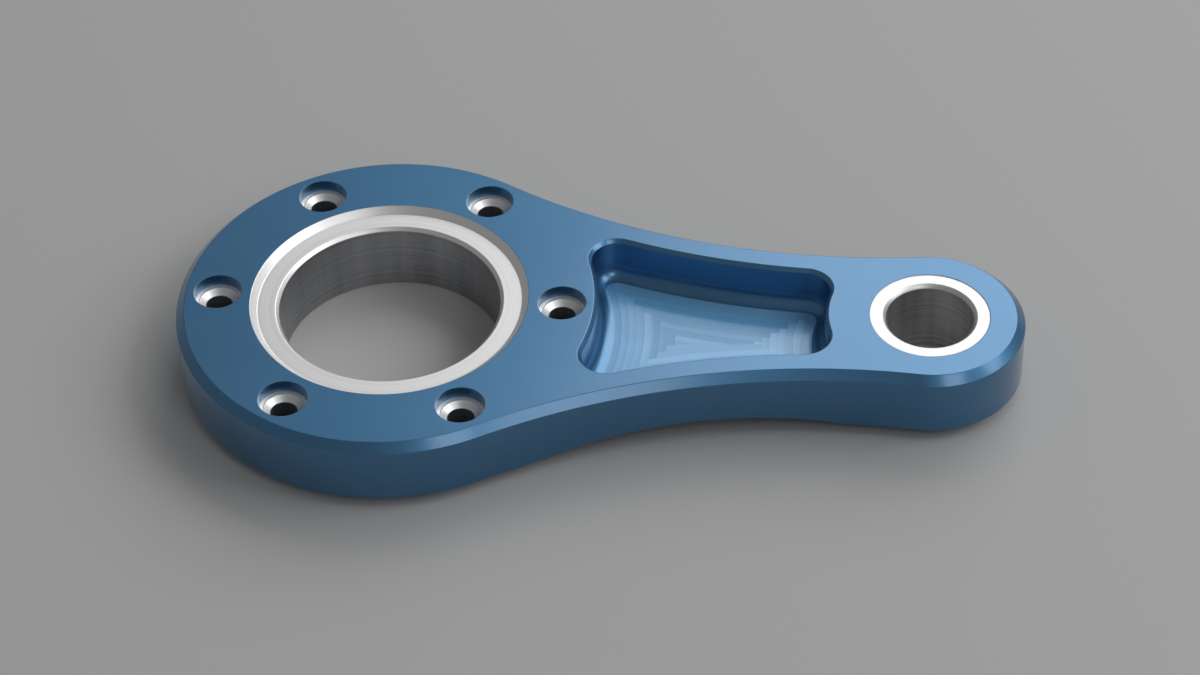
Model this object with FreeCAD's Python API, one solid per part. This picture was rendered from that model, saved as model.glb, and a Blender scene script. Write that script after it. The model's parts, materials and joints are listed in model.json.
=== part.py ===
import FreeCAD, Part
import math
import os

# Link arm machined from one aluminium plate: a large clamping end with a main bore and a ring of
# counterbored screw holes, a waisted web with a lightening pocket, and a small end with a pivot bore.
# Millimetres, +Z up. The origin is on the main bore's axis at the underside, +X runs to the pivot bore.

NODE = "link_arm"

# Plate
THICKNESS = 17.0
CENTRE_DISTANCE = 112.0
WAIST_RADIUS = 145.0
TOP_CHAMFER = 1.8
BASE_CHAMFER = 3.0

# Main bore, with its chamfered and sunken seat
MAIN_BORE_RADIUS = 23.0
BORE_CHAMFER = 0.75
BORE_BASE_CHAMFER = 0.4
SHELF_WIDTH = 3.85
SEAT_DEPTH = 1.4

# Ring of counterbored screw holes
SCREW_COUNT = 6
SCREW_HOLE_RADIUS = 2.75
COUNTERBORE_RADIUS = 5.0
COUNTERBORE_DEPTH = 2.6
LEDGE_WIDTH = 0.75
LEDGE_STEP = 0.25
LEAD_IN_ANGLE = 120.0
SEAT_TO_SCREW_LAND = 2.0
SCREW_TO_EDGE_LAND = 1.7

# Pivot bore, with a bare land round it
PIVOT_BORE_RADIUS = 9.0
PIVOT_LAND_WIDTH = 2.6
PIVOT_LAND_DEPTH = 0.15
PIVOT_RIM_WIDTH = 5.5

# Lightening pocket
WEB_THICKNESS = 5.0
POCKET_RIM_WIDTH = 4.2
SCREW_TO_POCKET_LAND = 1.6
PIVOT_TO_POCKET_LAND = 8.5
POCKET_EDGE_CHAMFER = 0.8
POCKET_CORNER_RADIUS = 5.2
POCKET_FLOOR_RADIUS = 3.3

# Arched underside between the two end pads
ARCH_RISE = 2.5
ARCH_RUN_OUT_RADIUS = 60.0
MAIN_PAD_LAND = 5.0
PIVOT_PAD_LAND = 2.0

# Sizes that follow from the ones above
SEAT_RADIUS = MAIN_BORE_RADIUS + BORE_CHAMFER + SHELF_WIDTH + SEAT_DEPTH
SCREW_CIRCLE_RADIUS = SEAT_RADIUS + SEAT_TO_SCREW_LAND + COUNTERBORE_RADIUS
SCREW_RING_OUTSIDE = SCREW_CIRCLE_RADIUS + COUNTERBORE_RADIUS
MAIN_END_RADIUS = SCREW_RING_OUTSIDE + SCREW_TO_EDGE_LAND + TOP_CHAMFER
PIVOT_LAND_RADIUS = PIVOT_BORE_RADIUS + BORE_CHAMFER + PIVOT_LAND_WIDTH
PIVOT_END_RADIUS = PIVOT_LAND_RADIUS + PIVOT_RIM_WIDTH + TOP_CHAMFER
POCKET_FLOOR_Z = ARCH_RISE + WEB_THICKNESS
CUT_MARGIN = 1.0

TOLERANCE = 1e-4


def point(x, y, z=0.0):
    return FreeCAD.Vector(x, y, z)


def circle_crossing(centre_a, radius_a, centre_b, radius_b):
    """The crossing of two circles that lies to the left of the line from A to B, as seen from above."""
    line = centre_b - centre_a
    gap = line.Length
    along = (radius_a ** 2 - radius_b ** 2 + gap ** 2) / (2.0 * gap)
    aside = math.sqrt(radius_a ** 2 - along ** 2)
    ahead = line / gap
    left = point(-ahead.y, ahead.x)
    return centre_a + ahead * along + left * aside


def mirrored(p):
    return point(p.x, -p.y, p.z)


def towards(centre, target, distance):
    """The point that lies the given distance from the centre on the way to the target."""
    return centre + (target - centre).normalize() * distance


def arc(start, middle, end):
    return Part.Arc(start, middle, end).toShape()


def waist_centre():
    """Centre of the back waist arc, which touches both end circles from outside."""
    return circle_crossing(
        point(0.0, 0.0), MAIN_END_RADIUS + WAIST_RADIUS,
        point(CENTRE_DISTANCE, 0.0), PIVOT_END_RADIUS + WAIST_RADIUS)


def outline_prism():
    """The plan outline: two end circles joined by a concave tangent arc on each side."""
    main = point(0.0, 0.0)
    pivot = point(CENTRE_DISTANCE, 0.0)
    waist = waist_centre()
    at_main = towards(main, waist, MAIN_END_RADIUS)
    at_pivot = towards(pivot, waist, PIVOT_END_RADIUS)
    middle = towards(waist, (at_main + at_pivot) / 2.0, WAIST_RADIUS)
    edges = [
        arc(at_main, point(-MAIN_END_RADIUS, 0.0), mirrored(at_main)),
        arc(mirrored(at_main), mirrored(middle), mirrored(at_pivot)),
        arc(mirrored(at_pivot), point(CENTRE_DISTANCE + PIVOT_END_RADIUS, 0.0), at_pivot),
        arc(at_pivot, middle, at_main),
    ]
    face = Part.Face(Part.Wire(edges))
    face.translate(point(0.0, 0.0, -CUT_MARGIN))
    return face.extrude(point(0.0, 0.0, THICKNESS + 2.0 * CUT_MARGIN))


def side_prism():
    """The side view, extruded across the arm: flat top, and an arch with run-outs between two pads."""
    start_x = MAIN_BORE_RADIUS + MAIN_PAD_LAND
    end_x = CENTRE_DISTANCE - PIVOT_BORE_RADIUS - PIVOT_PAD_LAND
    half_span = (end_x - start_x) / 2.0
    middle_x = (start_x + end_x) / 2.0
    arch_radius = (half_span ** 2 / ARCH_RISE + ARCH_RISE) / 2.0 - ARCH_RUN_OUT_RADIUS
    arch_centre = point(middle_x, 0.0, ARCH_RISE - arch_radius)

    def run_out(pad_x):
        """The points of one run-out arc: where it leaves the pad, its middle, where it meets the arch."""
        centre = point(pad_x, 0.0, ARCH_RUN_OUT_RADIUS)
        on_pad = point(pad_x, 0.0, 0.0)
        on_arch = towards(arch_centre, centre, arch_radius)
        return on_pad, towards(centre, (on_pad + on_arch) / 2.0, ARCH_RUN_OUT_RADIUS), on_arch

    rise_pad, rise_middle, rise_arch = run_out(start_x)
    fall_pad, fall_middle, fall_arch = run_out(end_x)
    left_x = -MAIN_END_RADIUS - CUT_MARGIN
    right_x = CENTRE_DISTANCE + PIVOT_END_RADIUS + CUT_MARGIN
    corners = [
        point(right_x, 0.0, 0.0),
        point(right_x, 0.0, THICKNESS),
        point(left_x, 0.0, THICKNESS),
        point(left_x, 0.0, 0.0),
    ]
    edges = [
        arc(rise_pad, rise_middle, rise_arch),
        arc(rise_arch, point(middle_x, 0.0, ARCH_RISE), fall_arch),
        arc(fall_arch, fall_middle, fall_pad),
        Part.makeLine(fall_pad, corners[0]),
        Part.makeLine(corners[0], corners[1]),
        Part.makeLine(corners[1], corners[2]),
        Part.makeLine(corners[2], corners[3]),
        Part.makeLine(corners[3], rise_pad),
    ]
    half_width = MAIN_END_RADIUS + CUT_MARGIN
    face = Part.Face(Part.Wire(edges))
    face.translate(point(0.0, -half_width, 0.0))
    return face.extrude(point(0.0, 2.0 * half_width, 0.0))


def is_top_edge(edge):
    return edge.BoundBox.ZMin > THICKNESS - TOLERANCE


def is_base_outline_edge(edge):
    """True for the edges between the underside and the side wall, not for the lines across the underside."""
    across = edge.BoundBox.XLength < TOLERANCE
    return edge.BoundBox.ZMax < ARCH_RISE + TOLERANCE and not across


def blank():
    """The plate before its holes: plan outline and side view in one, chamfered all round."""
    plate = outline_prism().common(side_prism())
    plate = plate.makeChamfer(TOP_CHAMFER, [e for e in plate.Edges if is_top_edge(e)])
    return plate.makeChamfer(BASE_CHAMFER, [e for e in plate.Edges if is_base_outline_edge(e)])


def turned(profile, x, y):
    """A cutting tool turned about a vertical axis, from (radius, height) pairs that start and end on it."""
    points = [point(radius, 0.0, height) for radius, height in profile]
    face = Part.Face(Part.makePolygon(points + points[:1]))
    tool = face.revolve(point(0.0, 0.0), point(0.0, 0.0, 1.0), 360.0)
    tool.translate(point(x, y))
    return tool


def bore_foot(radius):
    """The lower end of a bore's profile: out through the underside, with its edge chamfered."""
    flare = radius + BORE_BASE_CHAMFER + CUT_MARGIN
    return [(0.0, -CUT_MARGIN), (flare, -CUT_MARGIN), (radius, BORE_BASE_CHAMFER)]


def main_bore_tool():
    """Main bore, its inner chamfer, the flat shelf and the chamfer up to the top face."""
    shelf_z = THICKNESS - SEAT_DEPTH
    shelf_inside = MAIN_BORE_RADIUS + BORE_CHAMFER
    return turned(bore_foot(MAIN_BORE_RADIUS) + [
        (MAIN_BORE_RADIUS, shelf_z - BORE_CHAMFER),
        (shelf_inside, shelf_z),
        (shelf_inside + SHELF_WIDTH, shelf_z),
        (SEAT_RADIUS + CUT_MARGIN, THICKNESS + CUT_MARGIN),
        (0.0, THICKNESS + CUT_MARGIN),
    ], 0.0, 0.0)


def pivot_bore_tool():
    """Pivot bore, its chamfer and the shallow land that is faced round it."""
    land_z = THICKNESS - PIVOT_LAND_DEPTH
    return turned(bore_foot(PIVOT_BORE_RADIUS) + [
        (PIVOT_BORE_RADIUS, land_z - BORE_CHAMFER),
        (PIVOT_BORE_RADIUS + BORE_CHAMFER, land_z),
        (PIVOT_LAND_RADIUS, land_z),
        (PIVOT_LAND_RADIUS, THICKNESS + CUT_MARGIN),
        (0.0, THICKNESS + CUT_MARGIN),
    ], CENTRE_DISTANCE, 0.0)


def screw_hole_tool(angle):
    """Counterbore, narrow ledge, conical lead-in and clearance hole for one screw."""
    ledge_z = THICKNESS - COUNTERBORE_DEPTH
    cone_top_z = ledge_z - LEDGE_STEP
    cone_radius = COUNTERBORE_RADIUS - LEDGE_WIDTH
    cone_depth = (cone_radius - SCREW_HOLE_RADIUS) / math.tan(math.radians(LEAD_IN_ANGLE / 2.0))
    return turned([
        (0.0, -CUT_MARGIN),
        (SCREW_HOLE_RADIUS, -CUT_MARGIN),
        (SCREW_HOLE_RADIUS, cone_top_z - cone_depth),
        (cone_radius, cone_top_z),
        (cone_radius, ledge_z),
        (COUNTERBORE_RADIUS, ledge_z),
        (COUNTERBORE_RADIUS, THICKNESS + CUT_MARGIN),
        (0.0, THICKNESS + CUT_MARGIN),
    ], SCREW_CIRCLE_RADIUS * math.cos(angle), SCREW_CIRCLE_RADIUS * math.sin(angle))


def pocket_tool():
    """Pocket between the two ends: each wall runs parallel to the bore or waist that it faces."""
    main = point(0.0, 0.0)
    pivot = point(CENTRE_DISTANCE, 0.0)
    waist = waist_centre()
    main_wall = SCREW_RING_OUTSIDE + SCREW_TO_POCKET_LAND + POCKET_EDGE_CHAMFER
    pivot_wall = PIVOT_LAND_RADIUS + PIVOT_TO_POCKET_LAND + POCKET_EDGE_CHAMFER
    side_wall = WAIST_RADIUS + TOP_CHAMFER + POCKET_RIM_WIDTH + POCKET_EDGE_CHAMFER

    def corner(end, end_wall, side):
        """One rounded corner: its tangent points on the end wall and the side wall, and its middle."""
        reach = POCKET_CORNER_RADIUS
        left_of_line = circle_crossing(end, end_wall + reach, side, side_wall + reach)
        on_end = towards(left_of_line, end, reach)
        on_side = towards(left_of_line, side, reach)
        return on_end, towards(left_of_line, (on_end + on_side) / 2.0, reach), on_side

    main_front, main_bend, side_front = corner(main, main_wall, mirrored(waist))
    pivot_back, pivot_bend, side_back = corner(pivot, pivot_wall, waist)
    side_middle = towards(waist, (mirrored(side_front) + side_back) / 2.0, side_wall)
    edges = [
        arc(mirrored(main_front), point(main_wall, 0.0), main_front),
        arc(main_front, main_bend, side_front),
        arc(side_front, mirrored(side_middle), mirrored(side_back)),
        arc(mirrored(side_back), mirrored(pivot_bend), mirrored(pivot_back)),
        arc(mirrored(pivot_back), point(CENTRE_DISTANCE - pivot_wall, 0.0), pivot_back),
        arc(pivot_back, pivot_bend, side_back),
        arc(side_back, side_middle, mirrored(side_front)),
        arc(mirrored(side_front), mirrored(main_bend), mirrored(main_front)),
    ]
    face = Part.Face(Part.Wire(edges))
    face.translate(point(0.0, 0.0, POCKET_FLOOR_Z))
    tool = face.extrude(point(0.0, 0.0, THICKNESS + CUT_MARGIN - POCKET_FLOOR_Z))
    floor = [e for e in tool.Edges if e.BoundBox.ZMax < POCKET_FLOOR_Z + TOLERANCE]
    return tool.makeFillet(POCKET_FLOOR_RADIUS, floor)


def is_pocket_mouth_edge(edge):
    """True for the top edges that lie between the two ends and inside the rim along the waist."""
    middle = edge.valueAt((edge.FirstParameter + edge.LastParameter) / 2.0)
    from_waist = waist_centre().distanceToPoint(point(middle.x, abs(middle.y)))
    inside_rim = from_waist > WAIST_RADIUS + TOP_CHAMFER + POCKET_RIM_WIDTH / 2.0
    between_ends = SCREW_RING_OUTSIDE < middle.x < CENTRE_DISTANCE - PIVOT_LAND_RADIUS
    return is_top_edge(edge) and inside_rim and between_ends


def link_arm():
    arm = blank()
    arm = arm.cut(pocket_tool())
    arm = arm.makeChamfer(POCKET_EDGE_CHAMFER, [e for e in arm.Edges if is_pocket_mouth_edge(e)])
    arm = arm.cut(main_bore_tool())
    arm = arm.cut(pivot_bore_tool())
    for number in range(SCREW_COUNT):
        arm = arm.cut(screw_hole_tool(math.radians(360.0 * number / SCREW_COUNT)))
    return arm.Solids[0]


os.makedirs("parts", exist_ok=True)
link_arm().exportStep("parts/" + NODE + ".step")
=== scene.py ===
import json
import math

import bmesh
import bpy
from mathutils import Matrix, Vector


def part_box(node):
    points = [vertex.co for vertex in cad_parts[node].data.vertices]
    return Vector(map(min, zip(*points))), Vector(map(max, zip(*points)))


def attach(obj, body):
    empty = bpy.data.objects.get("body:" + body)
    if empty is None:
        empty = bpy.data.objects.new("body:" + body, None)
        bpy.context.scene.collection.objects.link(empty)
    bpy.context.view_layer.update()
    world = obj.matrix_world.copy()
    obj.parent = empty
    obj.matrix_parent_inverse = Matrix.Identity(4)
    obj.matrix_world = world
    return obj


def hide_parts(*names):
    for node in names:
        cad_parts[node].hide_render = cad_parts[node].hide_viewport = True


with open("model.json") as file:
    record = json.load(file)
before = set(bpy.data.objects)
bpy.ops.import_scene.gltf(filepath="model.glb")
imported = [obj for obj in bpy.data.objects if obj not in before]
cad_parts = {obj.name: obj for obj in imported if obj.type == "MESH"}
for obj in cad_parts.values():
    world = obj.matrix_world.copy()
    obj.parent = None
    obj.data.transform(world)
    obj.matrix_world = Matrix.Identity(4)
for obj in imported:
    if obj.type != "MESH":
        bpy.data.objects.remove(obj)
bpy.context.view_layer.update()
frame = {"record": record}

# Plate ---------------------------------------------------------------------------------------
# The arm is milled from one aluminium plate. In plan it has two round ends joined by a waist.
# The top edge is chamfered all round, the bottom edge more heavily, and the underside of the
# web is relieved to a low arch, so that the arm rests on a pad under each end.

mounts = {mount["name"]: mount for mount in frame["record"]["mounts"]}
arm_low, arm_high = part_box("link_arm")
plate_top = arm_high.z
main_axis = Vector(mounts["main_bore"]["pos_m"]).xy.to_3d()
pivot_axis = Vector(mounts["pivot_bore"]["pos_m"]).xy.to_3d()
main_bore_radius = mounts["main_bore"]["dims"]["r_mm"] / 1000
pivot_bore_radius = mounts["pivot_bore"]["dims"]["r_mm"] / 1000
main_end_radius = main_axis.x - arm_low.x
pivot_end_radius = arm_high.x - pivot_axis.x

waist_radius = 0.145
top_chamfer = 0.0018
base_chamfer = 0.003
arch_rise = 0.0025
arch_run_out_radius = 0.06
main_pad_margin = 0.005
pivot_pad_margin = 0.002
arch_start = main_axis.x + main_bore_radius + main_pad_margin
arch_end = pivot_axis.x - pivot_bore_radius - pivot_pad_margin
tolerance = 1e-6
pad_tolerance = 0.00002


def crossing(centre_a, radius_a, centre_b, radius_b):
    """The crossing of two circles that lies to the left of the line from A to B."""
    line = centre_b - centre_a
    along = (radius_a ** 2 - radius_b ** 2 + line.length_squared) / (2 * line.length)
    aside = math.sqrt(radius_a ** 2 - along ** 2)
    ahead = line.normalized()
    return centre_a + ahead * along + Vector((-ahead.y, ahead.x, 0)) * aside


def mirrored(place):
    return Vector((place.x, -place.y, place.z))


def towards(centre, place, distance):
    return centre + (place - centre).normalized() * distance


def bearing(centre, place):
    """The direction from the centre to the place, as an angle from +X."""
    return math.atan2(place.y - centre.y, place.x - centre.x)


def shorter_turn(centre, start, end):
    """The anticlockwise angle from one place to the other, less than half a turn either way."""
    turn = bearing(centre, end) - bearing(centre, start)
    return math.remainder(turn, math.tau)


def start_drawing(name, start):
    """A new mesh in edit mode that holds one point, ready to be drawn on from there."""
    bpy.ops.object.select_all(action="DESELECT")
    bpy.ops.mesh.primitive_plane_add(size=0.001, location=start)
    bpy.ops.object.transform_apply(location=True)
    drawing = bpy.context.object
    drawing.name = name
    drawing.data.name = name
    bpy.ops.object.mode_set(mode="EDIT")
    bpy.ops.mesh.select_mode(type="VERT")
    bpy.ops.mesh.select_all(action="SELECT")
    bpy.ops.mesh.merge(type="CENTER")
    return drawing


def draw_arc(centre, turn, steps):
    """Carries the drawing on from its last point, anticlockwise round the centre."""
    bpy.ops.mesh.spin(steps=steps, angle=-turn, center=centre, axis=(0, 0, 1))


def close_outline():
    """Joins the last point to the first and fills the outline with one face."""
    bpy.ops.mesh.select_all(action="SELECT")
    bpy.ops.mesh.remove_doubles(threshold=tolerance)
    bpy.ops.mesh.edge_face_add()


def extrude(step):
    """Extrudes what is selected by that step."""
    bpy.ops.mesh.extrude_region_move(TRANSFORM_OT_translate={"value": step})


def select_where(drawing, part, wanted):
    """Selects only those of the mesh's verts, edges or faces for which wanted() is true."""
    bpy.ops.mesh.select_all(action="DESELECT")
    bpy.ops.mesh.select_mode(type={"verts": "VERT", "edges": "EDGE", "faces": "FACE"}[part])
    drawn = bmesh.from_edit_mesh(drawing.data)
    for element in getattr(drawn, part):
        if wanted(element):
            element.select_set(True)
    drawn.select_flush_mode()
    bmesh.update_edit_mesh(drawing.data)


def chamfer(width, segments=1):
    """Cuts the selected edges back by that width, flat, or rounded if it has more than one segment."""
    bpy.ops.mesh.bevel(
        offset_type="OFFSET", offset=width, segments=segments, profile=0.5,
        affect="EDGES", clamp_overlap=False, loop_slide=False)


def level(edge, height):
    return all(abs(vert.co.z - height) < tolerance for vert in edge.verts)


def is_flat(face):
    return abs(face.normal.z) > 0.9


def is_upright(face):
    return abs(face.normal.z) < 0.1


def arch_height(x):
    """Height of the underside at x: pad, run-out, arch, run-out, pad."""
    half_span = (arch_end - arch_start) / 2
    from_middle = abs(x - (arch_start + arch_end) / 2)
    if from_middle >= half_span:
        return 0.0
    arch_radius = (half_span ** 2 / arch_rise + arch_rise) / 2 - arch_run_out_radius
    join = half_span * arch_radius / (arch_radius + arch_run_out_radius)
    if from_middle <= join:
        return arch_rise - arch_radius + math.sqrt(arch_radius ** 2 - from_middle ** 2)
    return arch_run_out_radius - math.sqrt(arch_run_out_radius ** 2 - (half_span - from_middle) ** 2)


waist_centre = crossing(
    main_axis, main_end_radius + waist_radius, pivot_axis, pivot_end_radius + waist_radius)
main_lean = bearing(main_axis, waist_centre)
pivot_lean = bearing(pivot_axis, waist_centre)
waist_turn = pivot_lean - main_lean

arm = start_drawing("link_arm_finished", towards(main_axis, waist_centre, main_end_radius))
draw_arc(main_axis, math.tau - 2 * main_lean, steps=200)
draw_arc(mirrored(waist_centre), -waist_turn, steps=64)
draw_arc(pivot_axis, 2 * pivot_lean, steps=144)
draw_arc(waist_centre, -waist_turn, steps=64)
close_outline()
extrude((0, 0, plate_top))
bpy.ops.mesh.select_all(action="SELECT")
bpy.ops.mesh.normals_make_consistent(inside=False)

# The arch is raised station by station, with one flat station beyond each of its ends.
stations = sorted(
    vert.co.x for vert in bmesh.from_edit_mesh(arm.data).verts
    if vert.co.y > 0 and vert.co.z < tolerance)
first = max(number for number, x in enumerate(stations) if x < arch_start)
last = min(number for number, x in enumerate(stations) if x > arch_end)
for station in stations[first:last + 1]:
    select_where(arm, "faces", lambda face: is_flat(face) and face.normal.z < 0)
    bpy.ops.mesh.bisect(plane_co=(station, 0, 0), plane_no=(1, 0, 0), threshold=tolerance)
for station in stations[first:last + 1]:
    select_where(arm, "verts", lambda vert: (
        abs(vert.co.x - station) < tolerance and vert.co.z < tolerance))
    bpy.ops.transform.translate(value=(0, 0, arch_height(station)))

select_where(arm, "edges", lambda edge: level(edge, plate_top))
chamfer(top_chamfer)
select_where(arm, "edges", lambda edge: (
    max(vert.co.z for vert in edge.verts) < arch_rise + tolerance
    and any(is_flat(face) for face in edge.link_faces)
    and any(is_upright(face) for face in edge.link_faces)))
chamfer(base_chamfer)
select_where(arm, "verts", lambda vert: vert.co.z < pad_tolerance)
bpy.ops.transform.resize(value=(1, 1, 0), center_override=(0, 0, 0))
bpy.ops.object.mode_set(mode="OBJECT")


def add_node(tree, kind, feeds=(), **settings):
    """Adds a node. The feeds are its inputs by order or by name, as plain values or sockets."""
    added = tree.nodes.new(kind)
    for name, value in settings.items():
        setattr(added, name, value)
    for key, feed in (feeds.items() if isinstance(feeds, dict) else enumerate(feeds)):
        if isinstance(feed, bpy.types.NodeSocket):
            tree.links.new(feed, added.inputs[key])
        else:
            added.inputs[key].default_value = feed
    return added


def maths(tree, operation, *feeds):
    return add_node(tree, "ShaderNodeMath", feeds, operation=operation).outputs[0]


def mixed_colour(tree, factor, darker, lighter):
    mix = add_node(
        tree, "ShaderNodeMix", {0: factor, 6: (*darker, 1), 7: (*lighter, 1)}, data_type="RGBA")
    return mix.outputs[2]


def new_group(name, inputs, outputs):
    """A new node group, with its tree, its input sockets and its output node."""
    group = bpy.data.node_groups.new(name, "ShaderNodeTree")
    for socket_name, kind in inputs.items():
        group.interface.new_socket(socket_name, in_out="INPUT", socket_type=kind)
    for socket_name in outputs:
        group.interface.new_socket(socket_name, in_out="OUTPUT", socket_type="NodeSocketFloat")
    entry = group.nodes.new("NodeGroupInput")
    return group, entry.outputs, group.nodes.new("NodeGroupOutput")


def place_group(tree, group, feeds):
    placed = tree.nodes.new("ShaderNodeGroup")
    placed.node_tree = group
    for name, feed in feeds.items():
        tree.links.new(feed, placed.inputs[name])
    return placed.outputs


def object_place(tree):
    return tree.nodes.new("ShaderNodeTexCoord").outputs["Object"]


# The film's own texture: a fine even grain from the etch, long faint strokes from the face
# milling under it, and slow clouds where the dye has taken a little more or less.
film_texture, place, texture_out = new_group(
    "film_texture", {"Place": "NodeSocketVector"}, ["Height", "Grain", "Cloud"])
grain = add_node(film_texture, "ShaderNodeTexNoise", {
    "Vector": place["Place"], "Scale": 2600.0, "Detail": 2.0, "Roughness": 0.6}).outputs[0]
stretched = add_node(film_texture, "ShaderNodeMapping", {
    "Vector": place["Place"], "Scale": (1.0, 14.0, 14.0)}).outputs[0]
strokes = add_node(film_texture, "ShaderNodeTexNoise", {
    "Vector": stretched, "Scale": 160.0, "Detail": 3.0, "Roughness": 0.65}).outputs[0]
cloud = add_node(film_texture, "ShaderNodeTexNoise", {
    "Vector": place["Place"], "Scale": 38.0, "Detail": 3.0, "Roughness": 0.55}).outputs[0]
film_texture.links.new(
    maths(film_texture, "ADD", grain, maths(film_texture, "MULTIPLY", strokes, 0.7)),
    texture_out.inputs["Height"])
film_texture.links.new(grain, texture_out.inputs["Grain"])
film_texture.links.new(cloud, texture_out.inputs["Cloud"])

film_dark = (0.045, 0.172, 0.335)
film_light = (0.064, 0.214, 0.40)
film_roughness = 0.40
film_roughness_spread = 0.1
film_metallic = 0.94
grain_height = 1.2e-6


def film_shader(material):
    """Sets what is the same all over a blue anodised film, and returns the shader."""
    shader = material.node_tree.nodes["Principled BSDF"]
    shader.inputs["Metallic"].default_value = film_metallic
    shader.inputs["Coat Weight"].default_value = 1.0
    shader.inputs["Coat Roughness"].default_value = 0.18
    return shader


def varied(tree, mask, middle, spread):
    """A value that follows the mask, which runs from 0 to 1, about a middle value."""
    return maths(tree, "MULTIPLY_ADD", mask, spread, middle - spread / 2)


blue_film = bpy.data.materials.new("blue_anodised_film")
blue_film.use_nodes = True
film_tree = blue_film.node_tree
film_sockets = place_group(film_tree, film_texture, {"Place": object_place(film_tree)})
shader = film_shader(blue_film)
film_tree.links.new(
    mixed_colour(film_tree, film_sockets["Cloud"], film_dark, film_light),
    shader.inputs["Base Color"])
film_tree.links.new(
    varied(film_tree, film_sockets["Grain"], film_roughness, film_roughness_spread),
    shader.inputs["Roughness"])
film_bump = add_node(film_tree, "ShaderNodeBump", {
    "Strength": 1.0, "Distance": grain_height, "Height": film_sockets["Height"]})
film_tree.links.new(film_bump.outputs[0], shader.inputs["Normal"])
arm.data.materials.append(blue_film)

# Lightening pocket ---------------------------------------------------------------------------
# A pocket is milled into the web from above. Its walls run parallel to the main bore, the pivot
# bore and the waist, its corners and floor edge are rounded, and its mouth has a small chamfer.

screw_circle_radius = mounts["screw_holes"]["dims"]["pcd_mm"] / 2000
counterbore_radius = 0.005
pivot_land_width = 0.00335
pivot_land_radius = pivot_bore_radius + pivot_land_width
pocket_floor = arch_rise + 0.005
pocket_mouth_chamfer = 0.0008
pocket_corner_radius = 0.0052
pocket_floor_radius = 0.0033
screw_to_pocket = 0.0016
pivot_land_to_pocket = 0.0085
rail_width = 0.0042
main_wall_radius = screw_circle_radius + counterbore_radius + screw_to_pocket + pocket_mouth_chamfer
pivot_wall_radius = pivot_land_radius + pivot_land_to_pocket + pocket_mouth_chamfer
side_wall_radius = waist_radius + top_chamfer + rail_width + pocket_mouth_chamfer
cut_margin = 0.001


def corner_centre(end_axis, end_wall_radius, side_centre):
    """Centre of the pocket corner that touches an end wall and a side wall."""
    return crossing(
        end_axis, end_wall_radius + pocket_corner_radius,
        side_centre, side_wall_radius + pocket_corner_radius)


def cut_away(piece, tool):
    """Takes the tool's shape out of the piece, and gives the cut faces the tool's finish."""
    bpy.ops.object.mode_set(mode="OBJECT")
    bpy.ops.object.select_all(action="DESELECT")
    bpy.context.view_layer.objects.active = piece
    piece.select_set(True)
    cutting = piece.modifiers.new("cutting", "BOOLEAN")
    cutting.operation = "DIFFERENCE"
    cutting.solver = "EXACT"
    cutting.material_mode = "TRANSFER"
    cutting.object = tool
    bpy.ops.object.modifier_apply(modifier=cutting.name)
    bpy.data.objects.remove(tool)


side_centre = mirrored(waist_centre)
main_corner = corner_centre(main_axis, main_wall_radius, side_centre)
pivot_corner = mirrored(corner_centre(pivot_axis, pivot_wall_radius, waist_centre))
main_front = towards(main_corner, main_axis, pocket_corner_radius)
front_left = towards(main_corner, side_centre, pocket_corner_radius)
front_right = towards(pivot_corner, side_centre, pocket_corner_radius)
pivot_front = towards(pivot_corner, pivot_axis, pocket_corner_radius)

pocket_tool = start_drawing("pocket_tool", mirrored(main_front))
draw_arc(main_axis, shorter_turn(main_axis, mirrored(main_front), main_front), steps=36)
draw_arc(main_corner, shorter_turn(main_corner, main_front, front_left), steps=24)
draw_arc(side_centre, shorter_turn(side_centre, front_left, front_right), steps=36)
draw_arc(pivot_corner, shorter_turn(pivot_corner, front_right, pivot_front), steps=24)
draw_arc(pivot_axis, shorter_turn(pivot_axis, pivot_front, mirrored(pivot_front)), steps=24)
draw_arc(mirrored(pivot_corner), shorter_turn(pivot_corner, front_right, pivot_front), steps=24)
draw_arc(waist_centre, shorter_turn(side_centre, front_left, front_right), steps=36)
draw_arc(mirrored(main_corner), shorter_turn(main_corner, main_front, front_left), steps=24)
close_outline()
bpy.ops.transform.translate(value=(0, 0, pocket_floor))
extrude((0, 0, plate_top + cut_margin - pocket_floor))
select_where(pocket_tool, "edges", lambda edge: level(edge, pocket_floor))
chamfer(pocket_floor_radius, segments=12)
bpy.ops.mesh.select_all(action="SELECT")
bpy.ops.mesh.normals_make_consistent(inside=False)


def from_axis(tree, place, axis):
    """Distance of a place from an upright axis."""
    flat = add_node(tree, "ShaderNodeMapping", {
        "Vector": place, "Location": (-axis.x, -axis.y, 0), "Scale": (1, 1, 0)}).outputs[0]
    return add_node(tree, "ShaderNodeVectorMath", (flat,), operation="LENGTH").outputs["Value"]


# The floor is cleared in passes that run parallel to the nearest wall. Where passes from two
# walls meet, each ends in a step, so the mitre between them is a small staircase.
pass_width = 0.0016
scallop_height = 0.03e-3
pass_lean = 0.035
pass_step_height = 0.012e-3
tooth_line_height = 0.004e-3
valley_sharpness = 2.5
wall_code_step = 31.0
pivot_wall_code = 2 * wall_code_step

milled_dark = (0.10, 0.34, 0.62)
milled_light = (0.27, 0.58, 0.90)
pass_contrast = 0.8
# Painted highlight: the floor passes cut from the pivot wall are made this much lighter, so that end
# of the pocket floor looks lit.
pivot_pass_painted_highlight = 0.45
milled_roughness_rise = 0.2
milled_metallic_drop = 0.6

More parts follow.
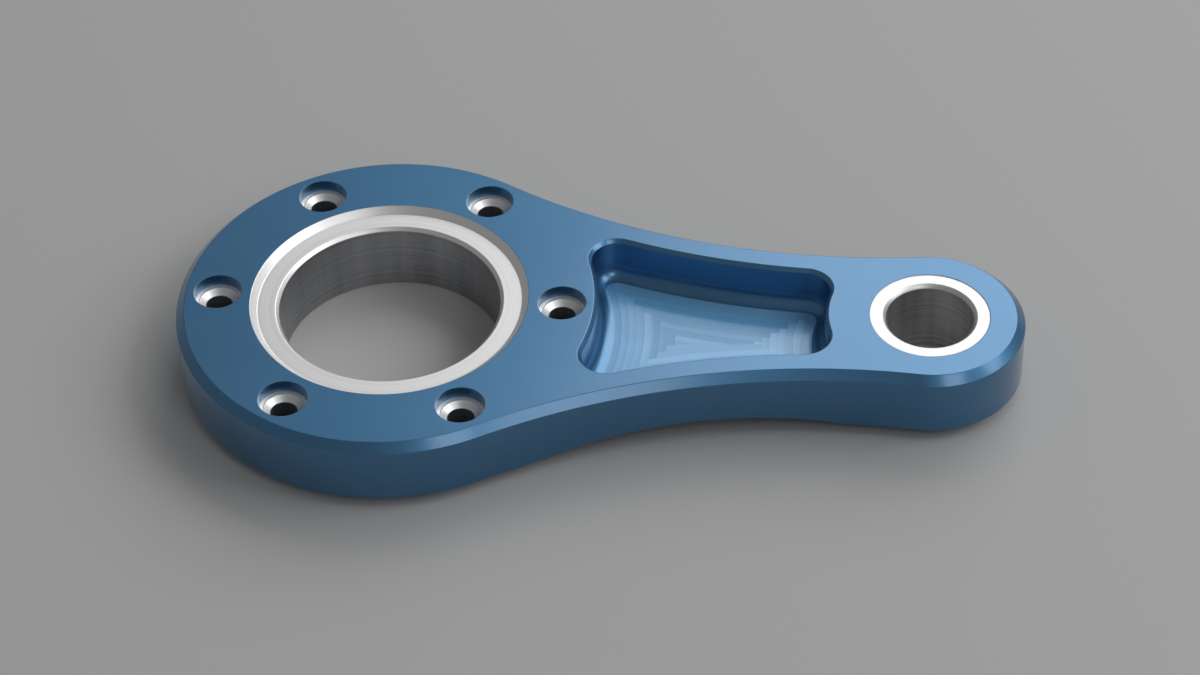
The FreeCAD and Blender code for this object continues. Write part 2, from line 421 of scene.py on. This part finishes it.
milled_film = bpy.data.materials.new("blue_anodised_milled_floor")
milled_film.use_nodes = True
tree = milled_film.node_tree
place = object_place(tree)
wall_gaps = [
    maths(tree, "SUBTRACT", from_axis(tree, place, axis), radius) for axis, radius in [
        (main_axis, main_wall_radius), (pivot_axis, pivot_wall_radius),
        (waist_centre, side_wall_radius), (side_centre, side_wall_radius)]]
passes = [maths(tree, "DIVIDE", gap, pass_width) for gap in wall_gaps]
pass_numbers = [maths(tree, "FLOOR", along) for along in passes]
first_pass = maths(tree, "MINIMUM", pass_numbers[0], pass_numbers[1])
side_pass = maths(tree, "MINIMUM", pass_numbers[2], pass_numbers[3])
pass_number = maths(tree, "MINIMUM", first_pass, side_pass)
wall_code = 0.0
across = passes[3]
for number in (2, 1, 0):
    nearest = maths(tree, "LESS_THAN", pass_numbers[number], maths(tree, "ADD", pass_number, 0.5))
    across = add_node(tree, "ShaderNodeMix", {0: nearest, 2: across, 3: passes[number]}).outputs[0]
    wall_code = add_node(tree, "ShaderNodeMix", {
        0: nearest, 2: wall_code, 3: wall_code_step * (number + 1)}).outputs[0]
within = maths(tree, "SUBTRACT", across, pass_number)
pass_tone = add_node(
    tree, "ShaderNodeTexWhiteNoise", {"W": maths(tree, "ADD", pass_number, wall_code)},
    noise_dimensions="1D").outputs["Value"]
tooth_lines = add_node(tree, "ShaderNodeTexNoise", {
    "W": maths(tree, "ADD", across, wall_code), "Scale": 9.0, "Detail": 3.0, "Roughness": 0.7,
}, noise_dimensions="1D").outputs[0]
valley = maths(tree, "POWER", maths(tree, "ABSOLUTE", maths(
    tree, "MULTIPLY_ADD", within, 2.0, -1.0)), valley_sharpness)
upright = add_node(tree, "ShaderNodeSeparateXYZ", (place,)).outputs[2]
on_floor = add_node(tree, "ShaderNodeMapRange", {
    0: upright, 1: pocket_floor + 0.00012, 2: pocket_floor + 0.00001, 3: 0.0, 4: 1.0,
}, interpolation_type="SMOOTHSTEP").outputs[0]
leaning = maths(tree, "MULTIPLY", within, pass_lean * pass_width)
marks = maths(tree, "MULTIPLY_ADD", tooth_lines, tooth_line_height,
    maths(tree, "MULTIPLY_ADD", pass_tone, pass_step_height,
        maths(tree, "MULTIPLY_ADD", valley, scallop_height, leaning)))
film_sockets = place_group(tree, film_texture, {"Place": place})
marks_and_grain = maths(tree, "ADD",
    maths(tree, "MULTIPLY", marks, on_floor),
    maths(tree, "MULTIPLY", film_sockets["Height"], grain_height))
floor_bump = add_node(tree, "ShaderNodeBump", {
    "Strength": 1.0, "Distance": 1.0, "Height": marks_and_grain})
shader = film_shader(milled_film)
tree.links.new(floor_bump.outputs[0], shader.inputs["Normal"])
# The pivot-wall passes get a painted highlight on top of their random pass tone and the dye's clouds.
pivot_pass_highlight_mask = maths(tree, "COMPARE", wall_code, pivot_wall_code, 0.5)
mark_tone_and_painted_highlight = maths(tree, "MULTIPLY_ADD", pivot_pass_highlight_mask, pivot_pass_painted_highlight,
    maths(tree, "MULTIPLY_ADD", maths(tree, "SUBTRACT", pass_tone, 0.5), pass_contrast,
        film_sockets["Cloud"]))
tree.links.new(add_node(tree, "ShaderNodeMix", {
    0: on_floor,
    6: mixed_colour(tree, film_sockets["Cloud"], film_dark, film_light),
    7: mixed_colour(tree, mark_tone_and_painted_highlight, milled_dark, milled_light),
}, data_type="RGBA").outputs[2], shader.inputs["Base Color"])
tree.links.new(maths(tree, "MULTIPLY_ADD", on_floor, milled_roughness_rise,
    varied(tree, film_sockets["Grain"], film_roughness - 0.03, film_roughness_spread)),
    shader.inputs["Roughness"])
tree.links.new(
    maths(tree, "MULTIPLY_ADD", on_floor, -milled_metallic_drop, film_metallic),
    shader.inputs["Metallic"])
pocket_tool.data.materials.append(milled_film)
cut_away(arm, pocket_tool)

bpy.ops.object.mode_set(mode="EDIT")
select_where(arm, "edges", lambda edge: (
    level(edge, plate_top) and any(is_upright(face) for face in edge.link_faces)))
chamfer(pocket_mouth_chamfer)
bpy.ops.object.mode_set(mode="OBJECT")

# Bores ---------------------------------------------------------------------------------------
# After the blue film is on, the bores are turned out of the arm, which leaves them bare. The main
# bore has a chamfered seat with a flat shelf, and the pivot bore has a shallow faced land.

bore_chamfer = 0.00075
bore_base_chamfer = 0.0004
shelf_width = 0.00385
seat_depth = 0.0014
pivot_land_depth = 0.00015


def turned_tool(name, axis, profile, steps):
    """A cutting tool turned about an upright axis, from (radius, height) pairs."""
    radius, height = profile[0]
    tool = start_drawing(name, axis + Vector((radius, 0, height)))
    for next_radius, next_height in profile[1:]:
        extrude((next_radius - radius, 0, next_height - height))
        radius, height = next_radius, next_height
    bpy.ops.mesh.select_all(action="SELECT")
    bpy.ops.mesh.spin(steps=steps, angle=math.tau, center=axis, axis=(0, 0, 1))
    bpy.ops.mesh.select_all(action="SELECT")
    bpy.ops.mesh.remove_doubles(threshold=tolerance)
    bpy.ops.mesh.normals_make_consistent(inside=False)
    return tool


def bore_foot(radius):
    """The lower end of a bore's profile, with its chamfer at the underside."""
    return [
        (0, -cut_margin),
        (radius + bore_base_chamfer + cut_margin, -cut_margin),
        (radius, bore_base_chamfer),
    ]


# A fine-pointed tool leaves turned lines round each bore, its chamfers and its faces.
turned_texture, line_place, texture_out = new_group(
    "turned_texture", {"Radius": "NodeSocketFloat", "Height": "NodeSocketFloat"},
    ["Lines", "Tone"])
along_cut = maths(turned_texture, "ADD", line_place["Radius"], line_place["Height"])
fine_lines = add_node(turned_texture, "ShaderNodeTexNoise", {
    "W": along_cut, "Scale": 5200.0, "Detail": 2.0, "Roughness": 0.6,
}, noise_dimensions="1D").outputs[0]
broad_lines = add_node(turned_texture, "ShaderNodeTexNoise", {
    "W": along_cut, "Scale": 1300.0, "Detail": 2.0, "Roughness": 0.5,
}, noise_dimensions="1D").outputs[0]
turned_texture.links.new(
    maths(turned_texture, "MULTIPLY_ADD", broad_lines, 2.0, fine_lines),
    texture_out.inputs["Lines"])
turned_texture.links.new(broad_lines, texture_out.inputs["Tone"])

bare_roughness = 0.43
turned_line_height = 0.9e-6
bored_wall_band = 0.00008


def finish_bare_metal(material, radius, height, from_wall, faces, walls):
    """Bare aluminium with turned lines. from_wall is the distance from the bored wall.

    The faces and the walls each have a pair of colours, the darker one first. The walls' pair is
    painted shade, far darker than bare metal, with painted reflection streaks.
    """
    tree = material.node_tree
    sockets = place_group(tree, turned_texture, {"Radius": radius, "Height": height})
    # Painted reflection: soft upright streaks, stretched up the bore, darken and lighten the walls in
    # bands.
    stretched = add_node(tree, "ShaderNodeMapping", {
        "Vector": object_place(tree), "Scale": (1.0, 1.0, 0.06)}).outputs[0]
    painted_reflection_streaks = add_node(tree, "ShaderNodeTexNoise", {
        "Vector": stretched, "Scale": 170.0, "Detail": 3.0, "Roughness": 0.6}).outputs[0]
    on_wall = maths(tree, "LESS_THAN", from_wall, bored_wall_band)
    wall_tone_and_reflection = maths(tree, "MULTIPLY_ADD", sockets["Tone"], 0.6,
        maths(tree, "SUBTRACT", painted_reflection_streaks, 0.3))
    bare_shader = tree.nodes["Principled BSDF"]
    bare_shader.inputs["Metallic"].default_value = 1.0
    # On the bore wall the darker pair of colours is painted shade, mixed by the turned tone and the
    # painted reflection streaks.
    tree.links.new(add_node(tree, "ShaderNodeMix", {
        0: on_wall,
        6: mixed_colour(tree, sockets["Tone"], *faces),
        7: mixed_colour(tree, wall_tone_and_reflection, *walls),
    }, data_type="RGBA").outputs[2], bare_shader.inputs["Base Color"])
    tree.links.new(
        varied(tree, sockets["Tone"], bare_roughness, 0.12), bare_shader.inputs["Roughness"])
    bump = add_node(tree, "ShaderNodeBump", {
        "Strength": 1.0, "Distance": turned_line_height, "Height": sockets["Lines"]})
    tree.links.new(bump.outputs[0], bare_shader.inputs["Normal"])


def bare_bore(name, axis, bore_radius, faces, walls):
    """The finish of one bore with its faces and chamfers."""
    material = bpy.data.materials.new(name)
    material.use_nodes = True
    tree = material.node_tree
    place = object_place(tree)
    radius = from_axis(tree, place, axis)
    height = add_node(tree, "ShaderNodeSeparateXYZ", (place,)).outputs[2]
    from_wall = maths(tree, "SUBTRACT", radius, bore_radius)
    finish_bare_metal(material, radius, height, from_wall, faces, walls)
    return material


shelf = plate_top - seat_depth
shelf_inside = main_bore_radius + bore_chamfer
seat_radius = shelf_inside + shelf_width + seat_depth
main_tool = turned_tool("main_bore_tool", main_axis, bore_foot(main_bore_radius) + [
    (main_bore_radius, shelf - bore_chamfer),
    (shelf_inside, shelf),
    (shelf_inside + shelf_width, shelf),
    (seat_radius + cut_margin, plate_top + cut_margin),
    (0, plate_top + cut_margin),
], steps=192)
# The main bore's bare faces are painted lighter than the pivot land's: painted light that makes up for
# the dimmer light they reflect.
main_tool.data.materials.append(bare_bore(
    "bare_aluminium_main_bore", main_axis, main_bore_radius,
    faces=((0.78, 0.785, 0.785), (0.92, 0.92, 0.915)),
    # The wall colours are painted shade with painted reflection streaks.
    walls=((0.23, 0.235, 0.245), (0.60, 0.61, 0.625))))
cut_away(arm, main_tool)

land = plate_top - pivot_land_depth
pivot_tool = turned_tool("pivot_bore_tool", pivot_axis, bore_foot(pivot_bore_radius) + [
    (pivot_bore_radius, land - bore_chamfer),
    (pivot_bore_radius + bore_chamfer, land),
    (pivot_land_radius, land),
    (pivot_land_radius, plate_top + cut_margin),
    (0, plate_top + cut_margin),
], steps=128)
# The pivot land's bare faces are painted darker than the main bore's: painted shade that tones down
# the bright panel they reflect.
pivot_tool.data.materials.append(bare_bore(
    "bare_aluminium_pivot_bore", pivot_axis, pivot_bore_radius,
    faces=((0.66, 0.665, 0.665), (0.80, 0.80, 0.795)),
    # The wall colours are painted shade with painted reflection streaks, lighter here than in the main
    # bore.
    walls=((0.35, 0.355, 0.365), (0.94, 0.945, 0.95))))
cut_away(arm, pivot_tool)

# Screw holes ---------------------------------------------------------------------------------
# Six screw holes stand on a circle round the main bore. Each has a blue counterbore and, below
# it, a narrow ledge and a conical lead-in that are cut bare into the clearance hole.

screw_count = mounts["screw_holes"]["dims"]["count"]
screw_hole_radius = mounts["screw_holes"]["dims"]["hole_r_mm"] / 1000
counterbore_depth = 0.0026
ledge_width = 0.00075
ledge_step = 0.00025
lead_in_angle = math.radians(120)

# One screw hole's pattern serves all six, because the place is folded into a single sixth.
bare_seat = bpy.data.materials.new("bare_aluminium_screw_seat")
bare_seat.use_nodes = True
tree = bare_seat.node_tree
place = object_place(tree)
sixth = math.tau / screw_count
side_x, side_y, height = add_node(tree, "ShaderNodeSeparateXYZ", (place,)).outputs
bearing_angle = maths(tree, "ARCTAN2", side_y, side_x)
folded = maths(tree, "SUBTRACT", maths(
    tree, "FLOORED_MODULO", maths(tree, "ADD", bearing_angle, sixth / 2), sixth), sixth / 2)
main_distance = from_axis(tree, place, main_axis)
along_spoke = maths(tree, "SUBTRACT", maths(
    tree, "MULTIPLY", main_distance, maths(tree, "COSINE", folded)), screw_circle_radius)
across_spoke = maths(tree, "MULTIPLY", main_distance, maths(tree, "SINE", folded))
screw_distance = maths(tree, "SQRT", maths(tree, "ADD",
    maths(tree, "MULTIPLY", along_spoke, along_spoke),
    maths(tree, "MULTIPLY", across_spoke, across_spoke)))
finish_bare_metal(
    bare_seat, screw_distance, height,
    maths(tree, "SUBTRACT", screw_distance, screw_hole_radius),
    faces=((0.74, 0.745, 0.745), (0.88, 0.88, 0.875)),
    # The hole wall colours are painted shade with painted reflection streaks.
    walls=((0.27, 0.275, 0.285), (0.68, 0.69, 0.705)))

ledge = plate_top - counterbore_depth
cone_radius = counterbore_radius - ledge_width
cone_depth = (cone_radius - screw_hole_radius) / math.tan(lead_in_angle / 2)
for number in range(screw_count):
    angle = math.tau * number / screw_count
    screw_axis = main_axis + Vector((math.cos(angle), math.sin(angle), 0)) * screw_circle_radius
    screw_tool = turned_tool("screw_tool", screw_axis, [
        (0, -cut_margin),
        (screw_hole_radius, -cut_margin),
        (screw_hole_radius, ledge - ledge_step - cone_depth),
        (cone_radius, ledge - ledge_step),
        (cone_radius, ledge),
        (counterbore_radius, ledge),
        (counterbore_radius, plate_top + cut_margin),
        (0, plate_top + cut_margin),
    ], steps=72)
    screw_tool.data.materials.append(bare_seat)
    screw_tool.data.materials.append(blue_film)
    select_where(screw_tool, "faces", lambda face: (
        face.calc_center_median().z > ledge + cut_margin / 2 and is_upright(face)))
    screw_tool.active_material_index = 1
    bpy.ops.object.material_slot_assign()
    cut_away(arm, screw_tool)

# Edges ---------------------------------------------------------------------------------------
# Every machined edge is broken with a fine stone, so that it is smooth to the hand and catches
# a thin line of light.

edge_break = 0.00012

breaking = arm.modifiers.new("edge_break", "BEVEL")
breaking.width = edge_break
breaking.segments = 2
breaking.limit_method = "ANGLE"
breaking.angle_limit = math.radians(25)
breaking.use_clamp_overlap = False
bpy.ops.object.modifier_apply(modifier=breaking.name)
bpy.ops.object.shade_smooth_by_angle(angle=math.radians(35))
flattening = arm.modifiers.new("flat_faces_stay_flat", "WEIGHTED_NORMAL")
flattening.keep_sharp = True
flattening.weight = 100
bpy.ops.object.modifier_apply(modifier=flattening.name)

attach(arm, "root")
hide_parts("link_arm")

# Studio --------------------------------------------------------------------------------------
# A pale floor lies just under the arm. Soft light comes from a large panel behind it, a smaller
# one in front and one beside it, with a dim even light from all round.

floor_gap = 0.00002

bpy.ops.mesh.primitive_plane_add(size=6, location=(0, 0, arm_low.z - floor_gap))
floor = bpy.context.object
floor.name = "floor"
floor_paint = bpy.data.materials.new("floor_paint")
floor_paint.use_nodes = True
floor_shader = floor_paint.node_tree.nodes["Principled BSDF"]
floor_shader.inputs["Base Color"].default_value = (0.48, 0.48, 0.48, 1)
floor_shader.inputs["Roughness"].default_value = 0.9
floor.data.materials.append(floor_paint)

world = bpy.data.worlds.new("studio_air")
bpy.context.scene.world = world
world.use_nodes = True
air = world.node_tree.nodes["Background"]
air.inputs["Color"].default_value = (1, 1, 1, 1)
air.inputs["Strength"].default_value = 0.22


def softbox(name, azimuth, elevation, distance, width, height, brightness):
    """A soft panel that faces the arm. The azimuth is in degrees from +Y towards +X."""
    azimuth, elevation = math.radians(azimuth), math.radians(elevation)
    towards_panel = Vector((
        math.sin(azimuth) * math.cos(elevation),
        math.cos(azimuth) * math.cos(elevation),
        math.sin(elevation)))
    middle = Vector((pivot_axis.x / 2, 0, 0))
    bpy.ops.object.light_add(type="AREA", location=middle + towards_panel * distance)
    panel = bpy.context.object
    panel.name = name
    panel.rotation_euler = towards_panel.to_track_quat("Z", "Y").to_euler()
    panel.data.shape = "RECTANGLE"
    panel.data.size = width
    panel.data.size_y = height
    panel.data.energy = brightness * math.pi * width * height


softbox("back_panel", 25, 41, 1.6, 1.3, 1.1, 2.2)
softbox("front_panel", 145, 44, 1.6, 0.5, 0.5, 2.6)
softbox("side_panel", 88, 42, 1.5, 0.9, 0.9, 2.6)

view_azimuth = math.radians(5.415)
view_elevation = math.radians(43.16)
view_roll = math.radians(-1.779)
view_target = Vector((0.04468, -0.01009, plate_top))
view_distance = 0.7109

camera_back = Vector((
    math.sin(view_azimuth) * math.cos(view_elevation),
    -math.cos(view_azimuth) * math.cos(view_elevation),
    math.sin(view_elevation)))
level_right = Vector((math.cos(view_azimuth), math.sin(view_azimuth), 0))
level_up = camera_back.cross(level_right)
camera_right = level_right * math.cos(view_roll) + level_up * math.sin(view_roll)
camera_up = level_up * math.cos(view_roll) - level_right * math.sin(view_roll)

bpy.ops.object.camera_add()
camera = bpy.context.object
camera.data.lens = 104.13
camera.data.sensor_width = 36
camera.data.clip_start = 0.01
turned = Matrix((camera_right, camera_up, camera_back)).transposed().to_4x4()
camera.matrix_world = Matrix.Translation(view_target + camera_back * view_distance) @ turned
bpy.context.scene.camera = camera
bpy.context.scene.view_settings.view_transform = "Standard"
